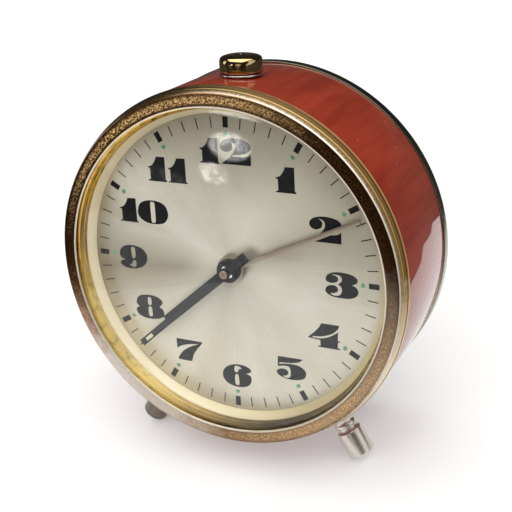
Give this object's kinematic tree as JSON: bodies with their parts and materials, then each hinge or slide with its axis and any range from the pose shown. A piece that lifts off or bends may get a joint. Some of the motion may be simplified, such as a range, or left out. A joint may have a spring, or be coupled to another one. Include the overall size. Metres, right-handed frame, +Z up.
{
  "type": "wind-up alarm clock",
  "caption": "Round wind-up bedside alarm clock on two short feet, leaning back: domed glass, printed dial, three hands, top alarm button, keys and knobs behind.",
  "frame": {"origin": "on the table under the middle of the clock's bounding box", "axes": "+Z up, the dial faces -Y and leans back, +X to the right as the dial is read"},
  "size_m": [0.09, 0.0592, 0.0975],
  "materials": {
    "worn_brass": "worn plated brass, brown tarnish",
    "gold": "polished gold-plated brass",
    "cream_ring": "satin cream enamel",
    "dial": "silver sunburst with black print",
    "glass": "clear domed glass",
    "red_paint": "gloss brick-red lacquer",
    "nickel": "worn nickel plate",
    "black_hand": "black enamel",
    "copper_hand": "copper-toned plate",
    "movement_brass": "brushed brass",
    "movement_steel": "machined steel",
    "spring_steel": "blued spring steel"
  },
  "bodies": {
    "case": {"front_bezel": "worn_brass", "crystal": "glass", "reflector_ring": "gold", "dial_ring": "cream_ring", "dial": "dial", "case_band": "red_paint", "rear_bezel": "worn_brass", "back_cover": "nickel", "foot_left": "nickel", "foot_right": "nickel", "foot_nut_left": "movement_steel", "foot_nut_right": "movement_steel", "button_bush": "nickel", "front_plate": "movement_brass", "back_plate": "movement_brass", "pillar_1": "movement_steel", "pillar_2": "movement_steel", "pillar_3": "movement_steel", "pillar_4": "movement_steel", "pillar_nut_1": "movement_steel", "pillar_nut_2": "movement_steel", "pillar_nut_3": "movement_steel", "pillar_nut_4": "movement_steel", "minute_wheel_stud": "movement_steel", "alarm_release_spring": "spring_steel", "time_mainspring": "spring_steel", "alarm_mainspring": "spring_steel", "hairspring": "spring_steel"},
    "minute": {"minute_hand": "black_hand", "hand_cap": "copper_hand", "centre_arbor": "movement_steel", "cannon_pinion": "movement_brass", "time_set_knob": "nickel"},
    "hour": {"hour_hand": "black_hand", "hour_wheel": "movement_brass"},
    "minute_wheel": {"minute_wheel": "movement_brass"},
    "alarm_pointer": {"alarm_hand": "copper_hand", "alarm_wheel": "movement_brass"},
    "alarm_setter": {"alarm_set_arbor": "movement_steel", "alarm_set_knob": "nickel"},
    "time_great_wheel": {"time_great_wheel": "movement_brass"},
    "time_click": {"time_click": "movement_steel"},
    "time_winder": {"time_winding_arbor": "movement_steel", "time_key": "nickel"},
    "centre_wheel": {"centre_wheel": "movement_brass"},
    "third_wheel": {"third_wheel": "movement_brass"},
    "fourth_wheel": {"fourth_wheel": "movement_brass"},
    "escape_wheel": {"escape_wheel": "movement_brass"},
    "pallet_fork": {"pallet_fork": "movement_steel"},
    "balance": {"balance_wheel": "movement_brass"},
    "regulator": {"regulator_lever": "movement_steel"},
    "alarm_great_wheel": {"alarm_great_wheel": "movement_brass"},
    "alarm_click": {"alarm_click": "movement_steel"},
    "alarm_winder": {"alarm_winding_arbor": "movement_steel", "alarm_key": "nickel"},
    "alarm_escape_wheel": {"alarm_escape_wheel": "movement_brass"},
    "hammer": {"hammer": "movement_steel"},
    "alarm_button": {"alarm_button": "gold"},
    "stop_lever": {"stop_lever": "movement_steel"}
  },
  "joints": [
    {"name": "minute_spin", "type": "hinge", "parent": "case", "child": "minute", "pos_m": [0, -0.01148, 0.0514], "axis": [0, 0.9615, -0.2747], "continuous": true},
    {"name": "hour_spin", "type": "hinge", "parent": "case", "child": "hour", "pos_m": [0, -0.01148, 0.0514], "axis": [0, 0.9615, -0.2747], "continuous": true},
    {"name": "minute_wheel_spin", "type": "hinge", "parent": "case", "child": "minute_wheel", "pos_m": [-0.00707, -0.00862, 0.04323], "axis": [0, 0.9615, -0.2747], "continuous": true},
    {"name": "alarm_hand_spin", "type": "hinge", "parent": "case", "child": "alarm_pointer", "pos_m": [0, -0.01148, 0.0514], "axis": [0, 0.9615, -0.2747], "continuous": true},
    {"name": "alarm_set_spin", "type": "hinge", "parent": "case", "child": "alarm_setter", "pos_m": [0.01169, -0.00771, 0.05734], "axis": [0, 0.9615, -0.2747], "continuous": true},
    {"name": "third_spin", "type": "hinge", "parent": "case", "child": "third_wheel", "pos_m": [-0.00607, 0.00102, 0.05877], "axis": [0, 0.9615, -0.2747], "continuous": true},
    {"name": "centre_spin", "type": "hinge", "parent": "case", "child": "centre_wheel", "pos_m": [0, -0.00187, 0.04865], "axis": [0, 0.9615, -0.2747], "continuous": true},
    {"name": "time_great_spin", "type": "hinge", "parent": "case", "child": "time_great_wheel", "pos_m": [-0.017, 0.00095, 0.03849], "axis": [0, 0.9615, -0.2747], "continuous": true},
    {"name": "fourth_spin", "type": "hinge", "parent": "case", "child": "fourth_wheel", "pos_m": [0.00243, 0.00281, 0.06503], "axis": [0, 0.9615, -0.2747], "continuous": true},
    {"name": "escape_spin", "type": "hinge", "parent": "case", "child": "escape_wheel", "pos_m": [-0.00517, 0.0047, 0.07165], "axis": [0, 0.9615, -0.2747], "continuous": true},
    {"name": "time_wind", "type": "hinge", "parent": "time_great_wheel", "child": "time_winder", "pos_m": [-0.017, 0.00095, 0.03849], "axis": [0, -0.9615, 0.2747], "range_deg": [0, 2160]},
    {"name": "time_click_lift", "type": "hinge", "parent": "time_great_wheel", "child": "time_click", "pos_m": [-0.01849, 0.00183, 0.04704], "axis": [0, -0.9615, 0.2747], "range_deg": [0, 10], "stiffness_Nm_per_rad": 0.0001},
    {"name": "balance_swing", "type": "hinge", "parent": "case", "child": "balance", "pos_m": [-0.02, 0.00074, 0.05779], "axis": [0, 0.9615, -0.2747], "range_deg": [-150, 150], "stiffness_Nm_per_rad": 0.000008},
    {"name": "pallet_rock", "type": "hinge", "parent": "case", "child": "pallet_fork", "pos_m": [-0.01294, 0.00418, 0.06983], "axis": [0, 0.9615, -0.2747], "range_deg": [-6, 6]},
    {"name": "regulator_turn", "type": "hinge", "parent": "case", "child": "regulator", "pos_m": [-0.02, 0.0142, 0.05394], "axis": [0, -0.9615, 0.2747], "range_deg": [-20, 20]},
    {"name": "alarm_great_spin", "type": "hinge", "parent": "case", "child": "alarm_great_wheel", "pos_m": [0.017, 0.00095, 0.03849], "axis": [0, 0.9615, -0.2747], "continuous": true},
    {"name": "alarm_escape_spin", "type": "hinge", "parent": "case", "child": "alarm_escape_wheel", "pos_m": [0.02, 0.0002, 0.05589], "axis": [0, 0.9615, -0.2747], "continuous": true},
    {"name": "alarm_wind", "type": "hinge", "parent": "alarm_great_wheel", "child": "alarm_winder", "pos_m": [0.017, 0.00095, 0.03849], "axis": [0, -0.9615, 0.2747], "range_deg": [0, 1800]},
    {"name": "alarm_click_lift", "type": "hinge", "parent": "alarm_great_wheel", "child": "alarm_click", "pos_m": [0.01551, 0.00183, 0.04704], "axis": [0, -0.9615, 0.2747], "range_deg": [0, 10], "stiffness_Nm_per_rad": 0.0001},
    {"name": "hammer_swing", "type": "hinge", "parent": "case", "child": "hammer", "pos_m": [0.014, 0.01159, 0.05937], "axis": [0, 0.9615, -0.2747], "range_deg": [-4, 5]},
    {"name": "button_lift", "type": "slide", "parent": "case", "child": "alarm_button", "axis": [0, 0.2747, 0.9615], "range_m": [0, 0.004]},
    {"name": "stop_lever_swing", "type": "hinge", "parent": "case", "child": "stop_lever", "pos_m": [0.01, 0.00665, 0.07846], "axis": [0, 0.9615, -0.2747], "range_deg": [0, 12]}
  ],
  "couplings": [
    {"joint": "hour_spin", "follows": "minute_spin", "ratio": 0.083333},
    {"joint": "minute_wheel_spin", "follows": "minute_spin", "ratio": -0.33333},
    {"joint": "alarm_set_spin", "follows": "alarm_hand_spin", "ratio": -2},
    {"joint": "centre_spin", "follows": "third_spin", "ratio": -0.125},
    {"joint": "time_great_spin", "follows": "third_spin", "ratio": 0.025},
    {"joint": "fourth_spin", "follows": "third_spin", "ratio": -7.5},
    {"joint": "escape_spin", "follows": "third_spin", "ratio": 60},
    {"joint": "pallet_rock", "follows": "balance_swing", "ratio": 0.04},
    {"joint": "alarm_escape_spin", "follows": "alarm_great_spin", "ratio": -5},
    {"joint": "stop_lever_swing", "follows": "button_lift", "rad_per_m": 52.36}
  ]
}
